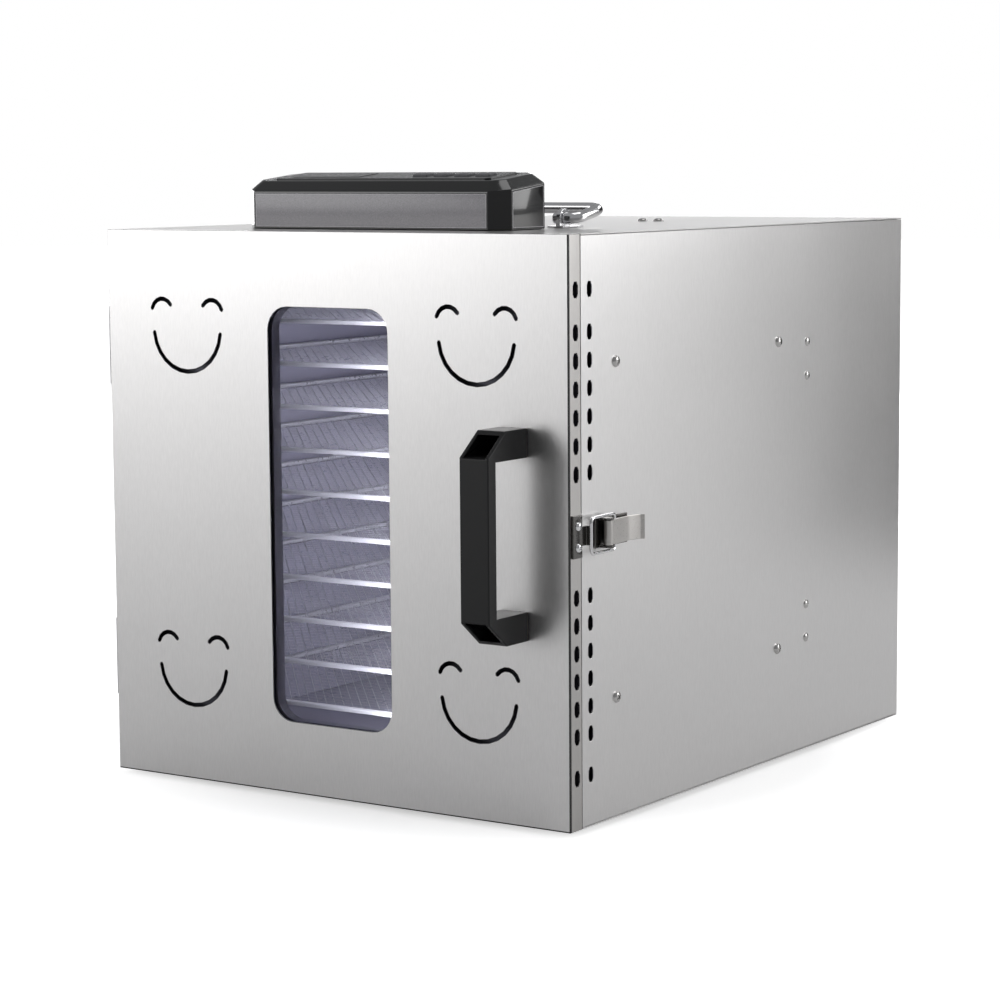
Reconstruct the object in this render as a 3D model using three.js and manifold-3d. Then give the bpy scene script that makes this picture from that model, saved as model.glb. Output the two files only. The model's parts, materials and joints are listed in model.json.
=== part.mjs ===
// Food dehydrator with ten trays, a hinged glazed door, a draw latch, a folding carry handle and a fan.
// Units are millimetres. +X is the latch side, -Y is the front, +Z is up.
// While it is built, y = 0 is the front of the door and z = 0 is the underside of the cabinet.
// At the end the whole group is moved so that its origin is the middle of its footprint.
import * as THREE from 'three';
import { mergeVertices } from 'three/addons/utils/BufferGeometryUtils.js';
import Module from 'manifold-3d';

const wasm = await Module();
wasm.setup();

// ---- driving sizes ---------------------------------------------------------------------------
const cabinetWidth = 424;
const cabinetHeight = 425;
const overallDepth = 520;
const sheet = 1;
const linerSheet = 1;
const fit = 0.3;

const doorThickness = 15.5;
const doorGap = 0.8;
const windowWidth = 111;
const windowAboveSill = 55;
const windowBelowTop = 56;
const windowCorner = 18;
const glassThickness = 3;
const glassLap = 7;
const gasketWidth = 3;
const sealWidth = 8;
const sealCorner = 4;
const sealFromChamber = 0.5;

const smileRadius = 32.7;
const smileReach = THREE.MathUtils.degToRad(84);
const smileStroke = 3;
const smileFromSide = 78.1;
const smileFromTop = 78.5;
const smileFromBottom = 87.5;
const eyeAcross = 24.5;
const eyeRadius = 10.2;
const eyeReach = THREE.MathUtils.degToRad(64);
const eyeTilt = THREE.MathUtils.degToRad(9);
const eyeTopAboveMouth = 26;

const ventWide = 6.4;
const ventTall = 12;
const ventPitch = 20;
const ventFirst = 44;
const ventLastFromTop = 39;
const ventBeforeDoorBack = 6.2;
const ventBehindFront = 11.4;
const ventFromHinge = 3;

const wallCavity = 11;
const floorCavity = 22;
const roofCavity = 22;
const fanRoom = 90;

const trayCount = 10;
const trayHeight = 3.2;
const trayRim = 6;
const traySlotWide = 30;
const traySideClearance = 2;
const trayBehindFrame = 16.7;
const trayBeforeBaffle = 20;
const trayUnderRoof = 46.4;
const trayOverFloor = 35.4;
const ledgeReach = 9;
const ledgeThickness = 1.2;
const ledgeInset = 5;

const fanRadius = 66;
const fanDepth = 22;
const fanClearance = 5;
const fanBlades = 6;
const fanBladePitch = THREE.MathUtils.degToRad(32);
const fanBladeWidth = 20;
const hubRadius = 15;
const shaftRadius = 4;
const motorRadius = 34;
const motorLength = 30;
const bracketHalfHeight = 26;
const heaterFromFan = 16;
const heaterTube = 3.5;
const heaterGap = 0.35;
const guardRings = 3;
const guardSpokes = 6;
const guardRib = 5;
const rearSlots = 9;
const rearSlotPitch = 14;
const baffleSlotRows = 7;
const baffleSlotPitch = 44;

const inletFromSide = 62;
const inletZ = 60;
const inletWide = 30;
const inletTall = 22;
const inletDepth = 22;
const inletFlange = 6;
const inletFlangeThick = 3;
const inletWall = 2.4;

const housingHalfWidth = 121.5;
const housingFrontY = 53;
const housingDepth = 69;
const housingWall = 2.5;
const housingCorner = 12.5;
const housingFrontHeight = 28.5;
const housingChamferRise = 7.2;
const housingChamferIn = 8;
const housingSlope = THREE.MathUtils.degToRad(6);
const panelFromEnd = 21.5;
const panelFromSide = 14.5;
const panelThickness = 2;
const panelRecess = 1.2;
const displayLength = 64;
const displayDepth = 24;
const buttonCount = 4;
const buttonLength = 13;
const buttonDepth = 10;
const buttonPitch = 19;
const buttonStands = 1.2;
const buttonGap = 0.4;
const buttonTravel = 0.8;

const carryRod = 8.6;
const carryHalfWidth = 121.5;
const carryPivotY = 153;
const carryPivotRise = 7.2;
const carryReach = 38;
const carryRise = 7;
const carryCorner = 13;
const carryStubCorner = 9;
const carryStubLength = 19;
const eyeWall = 2.6;
const eyeWidth = 3.6;
const eyeFromRod = 7.5;

const gripFromSide = 34.5;
const gripWidth = 24.5;
const gripReach = 50;
const gripThickness = 10;
const gripHeight = 152.5;
const gripArm = 21;
const gripChamferRise = 17.5;
const gripChamferRun = 22.5;
const gripPocketWall = 3;

const hingePinRadius = 2;
const hingeKnuckleRadius = 4;
const hingeOffset = 4.5;
const hingeKnuckleHeight = 20;
const hingeKnuckleGap = 0.5;
const hingeFromEnd = 90;
const hingeLeafReach = 30;

const latchPlate = 1.5;
const latchWidth = 18;
const loopWire = 2.6;
const loopWidth = 28.5;
const loopBarBehindDoor = 1.5;
const loopBarOut = 7.5;
const loopOverLip = 0.8;
const leverPivotBehindBar = 24;
const leverPivotOut = 7;
const loopPivotBehindLever = 9;
const leverLength = 43;
const leverThickness = 1.8;

const footRadius = 9;
const footHeight = 4;
const footInset = 45;
const arcSteps = 6;
const endSteps = 3;

// ---- places that follow from them ---------------------------------------------------------------
const halfWidth = cabinetWidth / 2;
const cabinetFrontY = doorThickness + doorGap;
const panelInnerX = halfWidth - sheet;
const rearInnerY = overallDepth - sheet;
const frameBackY = cabinetFrontY + sheet;
const windowHeight = cabinetHeight - windowAboveSill - windowBelowTop;
const windowMiddleZ = windowAboveSill + windowHeight / 2;
const latchZ = windowMiddleZ;
const fanZ = windowMiddleZ;

const chamberHalfWidth = panelInnerX - wallCavity - linerSheet;
const chamberFloorZ = sheet + floorCavity + linerSheet;
const chamberRoofZ = cabinetHeight - sheet - roofCavity - linerSheet;
const chamberBackY = overallDepth - fanRoom;
const trayFrontY = frameBackY + trayBehindFrame;
const trayBackY = chamberBackY - trayBeforeBaffle;
const trayTopZ = chamberRoofZ - trayUnderRoof;
const trayPitch = (trayTopZ - chamberFloorZ - trayOverFloor) / (trayCount - 1);

const baffleBackY = chamberBackY + linerSheet + fit;
const fanFrontY = baffleBackY + sheet + fanClearance;
const fanMiddleY = fanFrontY + fanDepth / 2;
const bracketY = fanFrontY + fanDepth + fanClearance;
const motorFrontY = bracketY + sheet + fit;
const heaterRadius = fanRadius + heaterFromFan;
const inletX = halfWidth - inletFromSide;

const hingeX = -halfWidth - hingeOffset;
const hingeY = doorThickness + doorGap / 2;
const hingeZs = [hingeFromEnd, cabinetHeight - hingeFromEnd];
const loopBarY = doorThickness + loopBarBehindDoor;
const leverPivotY = loopBarY + leverPivotBehindBar;
const loopPivotY = leverPivotY + loopPivotBehindLever;
const leverTipY = leverPivotY + leverLength;
const carryPivotZ = cabinetHeight + carryPivotRise;
const panelLength = 2 * (housingHalfWidth - panelFromEnd);
const panelDepth = housingDepth - 2 * panelFromSide;

// ---- helpers ------------------------------------------------------------------------------------
const object = new THREE.Group();
const toSide = new THREE.Matrix4().makeBasis(
  new THREE.Vector3(0, 1, 0), new THREE.Vector3(0, 0, 1), new THREE.Vector3(1, 0, 0));

const finishes = {
  steel: { color: 0xb9b9c0, roughness: 0.42, metalness: 0.9 },
  inner: { color: 0x8a8c96, roughness: 0.5, metalness: 0.8 },
  chrome: { color: 0xd8d8dc, roughness: 0.12, metalness: 1 },
  black: { color: 0x17171b, roughness: 0.5, metalness: 0 },
  gloss: { color: 0x0d0d10, roughness: 0.12, metalness: 0 },
  glass: { color: 0x9fb0c4, roughness: 0.03, metalness: 0 },
  rubber: { color: 0x2a2a2c, roughness: 0.85, metalness: 0 },
  board: { color: 0x1f5a34, roughness: 0.6, metalness: 0 },
  coil: { color: 0x6e5a4c, roughness: 0.5, metalness: 0.8 },
};

function add(name, geometry, finish) {
  const mesh = new THREE.Mesh(geometry, new THREE.MeshStandardMaterial(finishes[finish]));
  mesh.name = name;
  object.add(mesh);
  return mesh;
}

// The vertices are merged on a fine grid so that every edge is shared by exactly two triangles.
function toSolid(geometry) {
  const bare = geometry.clone();
  bare.deleteAttribute('normal');
  bare.deleteAttribute('uv');
  const merged = mergeVertices(bare, 1e-4);
  return new wasm.Manifold(new wasm.Mesh({
    numProp: 3,
    vertProperties: new Float32Array(merged.attributes.position.array),
    triVerts: new Uint32Array(merged.index.array),
  }));
}

function toGeometry(solid) {
  const mesh = solid.getMesh();
  const geometry = new THREE.BufferGeometry();
  geometry.setAttribute('position', new THREE.BufferAttribute(new Float32Array(mesh.vertProperties), 3));
  geometry.setIndex(new THREE.BufferAttribute(new Uint32Array(mesh.triVerts), 1));
  return geometry;
}

function join(...geometries) {
  const solids = geometries.map(toSolid);
  return toGeometry(solids.reduce((whole, next) => whole.add(next)));
}

function cut(geometry, ...tools) {
  return toGeometry(tools.map(toSolid).reduce((left, tool) => left.subtract(tool), toSolid(geometry)));
}

function box(x0, x1, y0, y1, z0, z1) {
  return new THREE.BoxGeometry(x1 - x0, y1 - y0, z1 - z0)
    .translate((x0 + x1) / 2, (y0 + y1) / 2, (z0 + z1) / 2);
}

function extrude(shape, depth) {
  return new THREE.ExtrudeGeometry(shape, { depth, bevelEnabled: false });
}

// A shape drawn in x and z, as thick as y0 to y1.
function facing(shape, y0, y1) {
  return extrude(shape, y1 - y0).rotateX(Math.PI / 2).translate(0, y1, 0);
}

// A shape drawn in y and z, as thick as x0 to x1.
function sideways(shape, x0, x1) {
  return extrude(shape, x1 - x0).applyMatrix4(toSide).translate(x0, 0, 0);
}

function flat(shape, z0, z1) {
  return extrude(shape, z1 - z0).translate(0, 0, z0);
}

function rectangle(u0, u1, v0, v1) {
  return new THREE.Shape([[u0, v0], [u1, v0], [u1, v1], [u0, v1]].map(([u, v]) => new THREE.Vector2(u, v)));
}

function arcPoints(u, v, radius, from, to, steps) {
  return Array.from({ length: steps + 1 }, (_, i) => {
    const angle = from + (to - from) * (i / steps);
    return new THREE.Vector2(u + radius * Math.cos(angle), v + radius * Math.sin(angle));
  });
}

function circle(u, v, radius, steps) {
  return new THREE.Shape(arcPoints(u, v, radius, 0, 2 * Math.PI, steps).slice(0, -1));
}

function roundedRectangle(u, v, width, height, radius) {
  const right = u + width / 2 - radius;
  const left = u - width / 2 + radius;
  const top = v + height / 2 - radius;
  const bottom = v - height / 2 + radius;
  return new THREE.Shape([
    ...arcPoints(right, bottom, radius, -Math.PI / 2, 0, arcSteps),
    ...arcPoints(right, top, radius, 0, Math.PI / 2, arcSteps),
    ...arcPoints(left, top, radius, Math.PI / 2, Math.PI, arcSteps),
    ...arcPoints(left, bottom, radius, Math.PI, Math.PI * 1.5, arcSteps),
  ]);
}

// An upright slot with round ends.
function obround(u, v, width, height) {
  const half = (height - width) / 2;
  return new THREE.Shape([
    ...arcPoints(u, v + half, width / 2, 0, Math.PI, endSteps),
    ...arcPoints(u, v - half, width / 2, Math.PI, 2 * Math.PI, endSteps),
  ]);
}

// A slot that follows an arc, with round ends.
function arcSlot(u, v, radius, start, end, stroke, steps) {
  const half = stroke / 2;
  const capStart = [u + radius * Math.cos(start), v + radius * Math.sin(start)];
  const capEnd = [u + radius * Math.cos(end), v + radius * Math.sin(end)];
  return new THREE.Shape([
    ...arcPoints(u, v, radius + half, start, end, steps).slice(0, -1),
    ...arcPoints(...capEnd, half, end, end + Math.PI, endSteps),
    ...arcPoints(u, v, radius - half, end, start, steps).slice(1, -1),
    ...arcPoints(...capStart, half, start + Math.PI, start + 2 * Math.PI, endSteps).slice(0, -1),
  ]);
}

function disc(radius, length, steps) {
  return new THREE.CylinderGeometry(radius, radius, length, steps);
}

// A closed body lofted through rings that all have the same number of corners.
function loft(rings) {
  const count = rings[0].length;
  const index = [];
  for (let ring = 0; ring + 1 < rings.length; ring += 1) {
    for (let i = 0; i < count; i += 1) {
      const a = ring * count + i;
      const b = ring * count + ((i + 1) % count);
      index.push(a, b, b + count, a, b + count, a + count);
    }
  }
  const last = (rings.length - 1) * count;
  for (let i = 1; i + 1 < count; i += 1) {
    index.push(0, i + 1, i);
    index.push(last, last + i, last + i + 1);
  }
  const geometry = new THREE.BufferGeometry();
  geometry.setAttribute('position', new THREE.Float32BufferAttribute(rings.flat(2), 3));
  geometry.setIndex(index);
  return geometry;
}

// The line through the corners, each corner rounded off over its own distance from the knee.
function roundedPath(corners, steps) {
  return corners.flatMap(([knee, trim], i) => {
    if (trim === 0) return [knee];
    const [before] = corners[i - 1];
    const [after] = corners[i + 1];
    const from = knee.clone().add(before.clone().sub(knee).setLength(trim));
    const to = knee.clone().add(after.clone().sub(knee).setLength(trim));
    return new THREE.QuadraticBezierCurve3(from, knee, to).getPoints(steps);
  });
}

// A round bar along a line that lies in one plane. The normal is the plane's.
function rod(line, normal, radius, sides) {
  const rings = line.map((point, i) => {
    const before = line[Math.max(i - 1, 0)];
    const after = line[Math.min(i + 1, line.length - 1)];
    const into = point.clone().sub(before).normalize();
    const out = after.clone().sub(point).normalize();
    const tangent = into.add(out).normalize();
    const across = tangent.clone().cross(normal);
    const mitre = i > 0 && i + 1 < line.length ? 1 / tangent.dot(out) : 1;
    return Array.from({ length: sides }, (_, k) => {
      const angle = (k * 2 * Math.PI) / sides;
      return point.clone().addScaledVector(normal, radius * Math.cos(angle))
        .addScaledVector(across, radius * mitre * Math.sin(angle)).toArray();
    });
  });
  return loft(rings);
}

// ---- cabinet --------------------------------------------------------------------------------------
function ventHeights(side) {
  const last = cabinetHeight - latchZ - ventLastFromTop;
  const heights = [last];
  for (let above = ventFirst; above < last - ventPitch; above += ventPitch) heights.push(above);
  const keepClear = (3 * hingeKnuckleHeight + ventTall) / 2 + ventFromHinge;
  return heights.flatMap((above) => [latchZ + above, latchZ - above])
    .filter((z) => side > 0 || hingeZs.every((hingeZ) => Math.abs(z - hingeZ) > keepClear));
}

function makeShell() {
  add('base_panel', box(-halfWidth, halfWidth, cabinetFrontY, overallDepth, 0, sheet), 'steel');
  add('top_panel',
    box(-halfWidth, halfWidth, cabinetFrontY, overallDepth, cabinetHeight - sheet, cabinetHeight), 'steel');
  const low = sheet + fit;
  const high = cabinetHeight - sheet - fit;
  for (const [name, side, x0] of [['side_panel_left', -1, -halfWidth], ['side_panel_right', 1, panelInnerX]]) {
    const shape = rectangle(cabinetFrontY, overallDepth, low, high);
    shape.holes = ventHeights(side).map((z) => obround(cabinetFrontY + ventBehindFront, z, ventWide, ventTall));
    add(name, sideways(shape, x0, x0 + sheet), 'steel');
  }
}

function makeRearPanel() {
  const across = panelInnerX - fit;
  const shape = rectangle(-across, across, sheet + fit, cabinetHeight - sheet - fit);
  for (let i = 0; i < rearSlots; i += 1) {
    const z = fanZ + (i - (rearSlots - 1) / 2) * rearSlotPitch;
    shape.holes.push(roundedRectangle(0, z, motorRadius * 4, ventWide, ventWide / 2 - 0.1));
  }
  shape.holes.push(rectangle(inletX - inletWide / 2 - fit, inletX + inletWide / 2 + fit,
    inletZ - inletTall / 2 - fit, inletZ + inletTall / 2 + fit));
  add('rear_panel', facing(shape, rearInnerY, overallDepth), 'steel');
}

function makeFrontFrame() {
  const across = panelInnerX - fit;
  const shape = rectangle(-across, across, sheet + fit, cabinetHeight - sheet - fit);
  shape.holes.push(rectangle(-chamberHalfWidth, chamberHalfWidth, chamberFloorZ, chamberRoofZ));
  add('front_frame', facing(shape, cabinetFrontY, frameBackY), 'steel');
}

// ---- drying chamber -------------------------------------------------------------------------------
function trayZ(index) {
  return trayTopZ - index * trayPitch;
}

function makeChamber() {
  const front = frameBackY + fit;
  const back = chamberBackY - fit;
  const outer = chamberHalfWidth + linerSheet;
  add('chamber_roof', box(-outer, outer, front, back, chamberRoofZ, chamberRoofZ + linerSheet), 'inner');
  add('chamber_floor', box(-outer, outer, front, back, chamberFloorZ - linerSheet, chamberFloorZ), 'inner');
  for (const [name, side] of [['tray_rack_left', -1], ['tray_rack_right', 1]]) {
    const wall = [side * chamberHalfWidth, side * outer].sort((a, b) => a - b);
    const pieces = [box(...wall, front, back, chamberFloorZ + fit, chamberRoofZ - fit)];
    for (let i = 0; i < trayCount; i += 1) {
      const ledge = [side * (chamberHalfWidth - ledgeReach), side * outer].sort((a, b) => a - b);
      const top = trayZ(i) - fit;
      pieces.push(box(...ledge, front + ledgeInset, back - ledgeInset, top - ledgeThickness, top));
    }
    add(name, join(...pieces), 'inner');
  }
}

function makeTray(index) {
  const half = chamberHalfWidth - traySideClearance;
  const z = trayZ(index);
  const inner = 2 * (half - trayRim);
  const slots = Math.floor(inner / (traySlotWide + trayRim));
  const pitch = inner / slots;
  const openings = [];
  for (let i = 0; i < slots; i += 1) {
    const left = -half + trayRim + i * pitch + (pitch - traySlotWide) / 2;
    openings.push(box(left, left + traySlotWide, trayFrontY + trayRim, trayBackY - trayRim,
      z - 1, z + trayHeight + 1));
  }
  const blank = box(-half, half, trayFrontY, trayBackY, z, z + trayHeight);
  add(`tray_${String(index + 1).padStart(2, '0')}`, cut(blank, ...openings), 'steel');
}

// ---- fan, heater and electrics ----------------------------------------------------------------------
function makeBaffle() {
  const outer = chamberHalfWidth + linerSheet;
  const shape = rectangle(-outer, outer, chamberFloorZ, chamberRoofZ);
  shape.holes.push(circle(0, fanZ, fanRadius + 2, 32));
  for (let i = 0; i < baffleSlotRows; i += 1) {
    const z = fanZ + (i - (baffleSlotRows - 1) / 2) * baffleSlotPitch;
    for (const side of [-1, 1]) shape.holes.push(obround(side * (chamberHalfWidth - 24), z, 10, 30));
  }
  add('fan_baffle', facing(shape, chamberBackY, chamberBackY + linerSheet), 'inner');
}

function makeGuard() {
  const shape = circle(0, fanZ, fanRadius + 10, 32);
  const halfSpoke = 3;
  const sector = (2 * Math.PI) / guardSpokes;
  const inner = hubRadius + 3;
  const ringStep = (fanRadius - 1 - inner + guardRib) / guardRings;
  for (let ring = 0; ring < guardRings; ring += 1) {
    const from = inner + ring * ringStep;
    const to = from + ringStep - guardRib;
    for (let i = 0; i < guardSpokes; i += 1) {
      const start = i * sector;
      const end = start + sector;
      shape.holes.push(new THREE.Shape([
        ...arcPoints(0, fanZ, to, start + halfSpoke / to, end - halfSpoke / to, arcSteps),
        ...arcPoints(0, fanZ, from, end - halfSpoke / from, start + halfSpoke / from, arcSteps - 2),
      ]));
    }
  }
  add('fan_guard', facing(shape, baffleBackY, baffleBackY + sheet), 'steel');
}

function makeImpeller() {
  const pieces = [disc(hubRadius, fanDepth, 24).translate(0, fanMiddleY, fanZ)];
  const root = hubRadius - 3;
  const bladeLength = fanRadius - root;
  for (let i = 0; i < fanBlades; i += 1) {
    pieces.push(new THREE.BoxGeometry(sheet, fanBladeWidth, bladeLength)
      .rotateZ(Math.PI / 2 - fanBladePitch)
      .translate(0, 0, root + bladeLength / 2)
      .rotateY((i * 2 * Math.PI) / fanBlades)
      .translate(0, fanMiddleY, fanZ));
  }
  const boreFront = fanMiddleY - 5;
  const bore = disc(shaftRadius + fit, fanDepth * 2, 16).translate(0, boreFront + fanDepth, fanZ);
  add('fan_impeller', cut(join(...pieces), bore), 'inner');
}

function makeMotor() {
  const across = heaterRadius + 12;
  const low = fanZ - bracketHalfHeight;
  const high = fanZ + bracketHalfHeight;
  const block = box(-across, across, baffleBackY, bracketY + sheet, low, high);
  const inside = box(-across + sheet, across - sheet, baffleBackY - 1, bracketY, low - 1, high + 1);
  const hole = disc(hubRadius, 10, 20).translate(0, bracketY, fanZ);
  add('motor_bracket', cut(block, inside, hole), 'steel');
  const body = disc(motorRadius, motorLength, 32).translate(0, motorFrontY + motorLength / 2, fanZ);
  const shaftLength = motorFrontY + 2 - fanMiddleY;
  const shaft = disc(shaftRadius, shaftLength, 16).translate(0, fanMiddleY + shaftLength / 2, fanZ);
  add('fan_motor', join(body, shaft), 'inner');
}

function makeHeater() {
  const centreLine = arcPoints(0, fanZ, heaterRadius, heaterGap - Math.PI / 2, 1.5 * Math.PI - heaterGap, 36)
    .map((point) => new THREE.Vector3(point.x, fanMiddleY, point.y));
  add('heater_element', rod(centreLine, new THREE.Vector3(0, 1, 0), heaterTube, 8), 'coil');
}

function makeSensors() {
  const across = fanRadius + 44;
  add('thermal_cutout', disc(9, 8, 20).translate(across, baffleBackY + 4, fanZ + fanRadius + 39), 'black');
  add('temperature_probe', disc(7, 4, 16).translate(-across, baffleBackY + 2, fanZ + fanRadius + 4), 'chrome');
}

function makeInlet() {
  const across = inletWide / 2;
  const tall = inletTall / 2;
  const front = overallDepth - inletDepth;
  const rimBack = overallDepth + fit + inletFlangeThick;
  const body = box(inletX - across, inletX + across, front, overallDepth + 1, inletZ - tall, inletZ + tall);
  const rim = box(inletX - across - inletFlange, inletX + across + inletFlange, overallDepth + fit, rimBack,
    inletZ - tall - inletFlange / 2, inletZ + tall + inletFlange / 2);
  const pocket = box(inletX - across + inletWall, inletX + across - inletWall, front + inletWall, rimBack + 1,
    inletZ - tall + inletWall, inletZ + tall - inletWall);
  const pins = [-7, 0, 7].map((x) => {
    const z = inletZ + (x === 0 ? 3 : -1);
    return box(inletX + x - 1, inletX + x + 1, front + 1, overallDepth - 5, z - 2, z + 2);
  });
  add('power_inlet', join(cut(join(body, rim), pocket), ...pins), 'black');
}

function makeFeet() {
  const places = [
    ['foot_front_left', -1, cabinetFrontY + footInset], ['foot_front_right', 1, cabinetFrontY + footInset],
    ['foot_rear_left', -1, overallDepth - footInset], ['foot_rear_right', 1, overallDepth - footInset],
  ];
  for (const [name, side, y] of places) {
    const foot = new THREE.CylinderGeometry(footRadius, footRadius - 1, footHeight - fit, 20)
      .rotateX(Math.PI / 2)
      .translate(side * (halfWidth - footInset), y, -(footHeight + fit) / 2);
    add(name, foot, 'rubber');
  }
}

// ---- door -------------------------------------------------------------------------------------------
function windowShape(grow) {
  return roundedRectangle(0, windowMiddleZ, windowWidth + 2 * grow, windowHeight + 2 * grow,
    windowCorner + grow);
}

function smileSlots() {
  const slots = [];
  const across = halfWidth - smileFromSide;
  for (const x of [-across, across]) {
    for (const z of [smileFromBottom, cabinetHeight - smileFromTop]) {
      const mouthZ = z + smileRadius * Math.cos(smileReach);
      slots.push(arcSlot(x, mouthZ, smileRadius, 1.5 * Math.PI - smileReach,
        1.5 * Math.PI + smileReach, smileStroke, 2 * arcSteps));
      for (const side of [-1, 1]) {
        const top = Math.PI / 2 - side * eyeTilt;
        slots.push(arcSlot(x + side * eyeAcross, z + eyeTopAboveMouth - eyeRadius, eyeRadius,
          top - eyeReach, top + eyeReach, smileStroke, arcSteps));
      }
    }
  }
  return slots;
}

function makeDoorSkin() {
  const block = box(-halfWidth, halfWidth, 0, doorThickness, 0, cabinetHeight);
  const hollow = box(-halfWidth + sheet, halfWidth - sheet, sheet, doorThickness + 1, sheet,
    cabinetHeight - sheet);
  const throughFront = [windowShape(0), ...smileSlots()].map((shape) => facing(shape, -1, sheet + 1));
  const throughSides = [-1, 1].flatMap((side) => ventHeights(side).map((z) => {
    const shape = obround(doorThickness - ventBeforeDoorBack, z, ventWide, ventTall);
    return sideways(shape, side * (halfWidth - sheet / 2) - sheet, side * (halfWidth - sheet / 2) + sheet);
  }));
  add('door_skin', cut(block, hollow, ...throughFront, ...throughSides), 'steel');
}

function makeDoorInside() {
  const across = halfWidth - sheet - fit;
  const glassFront = sheet + 2 * fit;
  const glassBack = glassFront + glassThickness;
  const gasket = windowShape(glassLap + fit + gasketWidth);
  gasket.holes.push(windowShape(glassLap + fit));
  add('window_glass', facing(windowShape(glassLap), glassFront, glassBack), 'glass');
  add('window_gasket', facing(gasket, sheet + fit, glassBack + fit), 'rubber');

  const plateBack = doorThickness - linerSheet;
  const plate = rectangle(-across, across, sheet + fit, cabinetHeight - sheet - fit);
  plate.holes.push(windowShape(0));
  const reveal = windowShape(linerSheet);
  reveal.holes.push(windowShape(0));
  add('door_inner_panel', join(
    facing(plate, plateBack - linerSheet, plateBack),
    facing(reveal, glassBack + 2 * fit, plateBack),
  ), 'inner');

  const sealMiddle = (chamberFloorZ + chamberRoofZ) / 2;
  const sealRing = (grow) => roundedRectangle(0, sealMiddle, 2 * (chamberHalfWidth + grow),
    chamberRoofZ - chamberFloorZ + 2 * grow, sealCorner + grow);
  const seal = sealRing(sealFromChamber + sealWidth);
  seal.holes.push(sealRing(sealFromChamber));
  add('door_seal', facing(seal, plateBack + fit, cabinetFrontY - fit), 'rubber');
}

function makeDoorHandle() {
  const low = latchZ - gripHeight / 2;
  const high = latchZ + gripHeight / 2;
  const inner = -(gripReach - gripThickness);
  const shape = new THREE.Shape([
    [-fit, low], [-fit, low + gripArm], [inner, low + gripArm], [inner, high - gripArm],
    [-fit, high - gripArm], [-fit, high], [-gripReach + gripChamferRun, high],
    [-gripReach, high - gripChamferRise], [-gripReach, low + gripChamferRise],
    [-gripReach + gripChamferRun, low],
  ].reverse().map(([y, z]) => new THREE.Vector2(y, z)));
  const right = halfWidth - gripFromSide;
  const left = right - gripWidth;
  const wall = gripPocketWall;
  const pocketBack = -6;
  const pockets = [[high - gripArm + wall, high - wall], [low + wall, low + gripArm - wall]]
    .map(([z0, z1]) => box(left + wall, right - wall, -gripReach - 1, pocketBack, z0, z1));
  add('door_handle', cut(sideways(shape, left, right), ...pockets), 'black');
}

// ---- hinges -----------------------------------------------------------------------------------------
function hingeTube(z0, z1) {
  const outer = disc(hingeKnuckleRadius, z1 - z0, 20);
  const bore = disc(hingePinRadius + fit, z1 - z0 + 2, 16);
  return cut(outer, bore).rotateX(Math.PI / 2).translate(hingeX, hingeY, (z0 + z1) / 2);
}

function makeHinges() {
  hingeZs.forEach((middle, index) => {
    const label = ['lower', 'upper'][index];
    const half = hingeKnuckleHeight / 2;
    const x0 = -halfWidth - fit - latchPlate;
    const x1 = -halfWidth - fit;
    const outerTop = middle + half * 3 + hingeKnuckleGap;
    const cabinetPlate = box(x0, x1, hingeY, hingeY + hingeLeafReach, middle - half, middle + half);
    const cabinetLeafPlate = box(x0, x1, hingeY + hingeKnuckleRadius + 1, hingeY + hingeLeafReach,
      2 * middle - outerTop, outerTop);
    add(`cabinet_hinge_leaf_${label}`, cut(
      join(cabinetPlate, cabinetLeafPlate, hingeTube(middle - half, middle + half)),
      hingeBore(middle)), 'steel');
    const doorParts = [];
    for (const side of [-1, 1]) {
      const near = middle + side * (half + hingeKnuckleGap);
      const far = middle + side * (half * 3 + hingeKnuckleGap);
      const [z0, z1] = [near, far].sort((a, b) => a - b);
      doorParts.push(box(x0, x1, 1, hingeY, z0, z1), hingeTube(z0, z1));
    }
    const doorPlate = box(x0, x1, 1, hingeY - hingeKnuckleRadius - 1, 2 * middle - outerTop, outerTop);
    add(`door_hinge_leaf_${label}`, cut(join(doorPlate, ...doorParts), hingeBore(middle)), 'steel');
    const pinHalf = outerTop - middle + 1;
    const pin = join(
      disc(hingePinRadius, 2 * pinHalf, 16),
      disc(hingePinRadius + 1.2, 1.6, 16).translate(0, pinHalf + 0.6, 0),
      disc(hingePinRadius + 1.2, 1.6, 16).translate(0, -pinHalf - 0.6, 0),
    );
    add(`hinge_pin_${label}`, pin.rotateX(Math.PI / 2).translate(hingeX, hingeY, middle), 'chrome');
  });
}

function hingeBore(middle) {
  return disc(hingePinRadius + fit, hingeKnuckleHeight * 4, 16).rotateX(Math.PI / 2)
    .translate(hingeX, hingeY, middle);
}

// ---- latch ------------------------------------------------------------------------------------------
function upright(points, z0, z1) {
  return flat(new THREE.Shape(points.map(([x, y]) => new THREE.Vector2(x, y))), z0, z1);
}

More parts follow.
